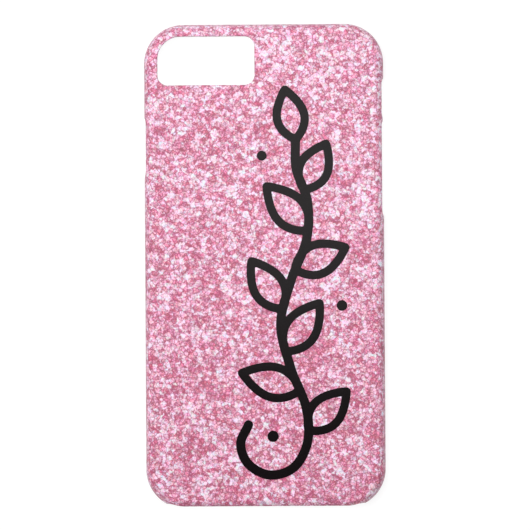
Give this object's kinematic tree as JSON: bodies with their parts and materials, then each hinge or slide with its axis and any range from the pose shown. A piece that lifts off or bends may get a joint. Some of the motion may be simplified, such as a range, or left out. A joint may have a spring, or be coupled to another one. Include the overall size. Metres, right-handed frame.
{
  "type": "phone case",
  "caption": "Slim one-piece clip-on shell for a 4.7 inch phone, pink glitter film wrapped over the back and sides, black vine ornament, camera and side openings.",
  "frame": {"origin": "centre of the open rim's plane, which is the bottom of the bounding box when the case lies face down", "axes": "+X to the right and +Y towards the camera end seen from behind, +Z out of the decorated back"},
  "size_m": [0.0698, 0.1403, 0.0091],
  "materials": {
    "polycarbonate": "satin moulded white polycarbonate, fine texture inside",
    "glitter_film": "pink glitter under a smooth clear gloss coat",
    "black_ornament": "smooth black gloss"
  },
  "bodies": {
    "root": {"shell": "polycarbonate", "glitter_film": "glitter_film", "vine_sprig": "black_ornament", "vine_berry_low": "black_ornament", "vine_berry_mid": "black_ornament", "vine_berry_high": "black_ornament"}
  },
  "joints": []
}
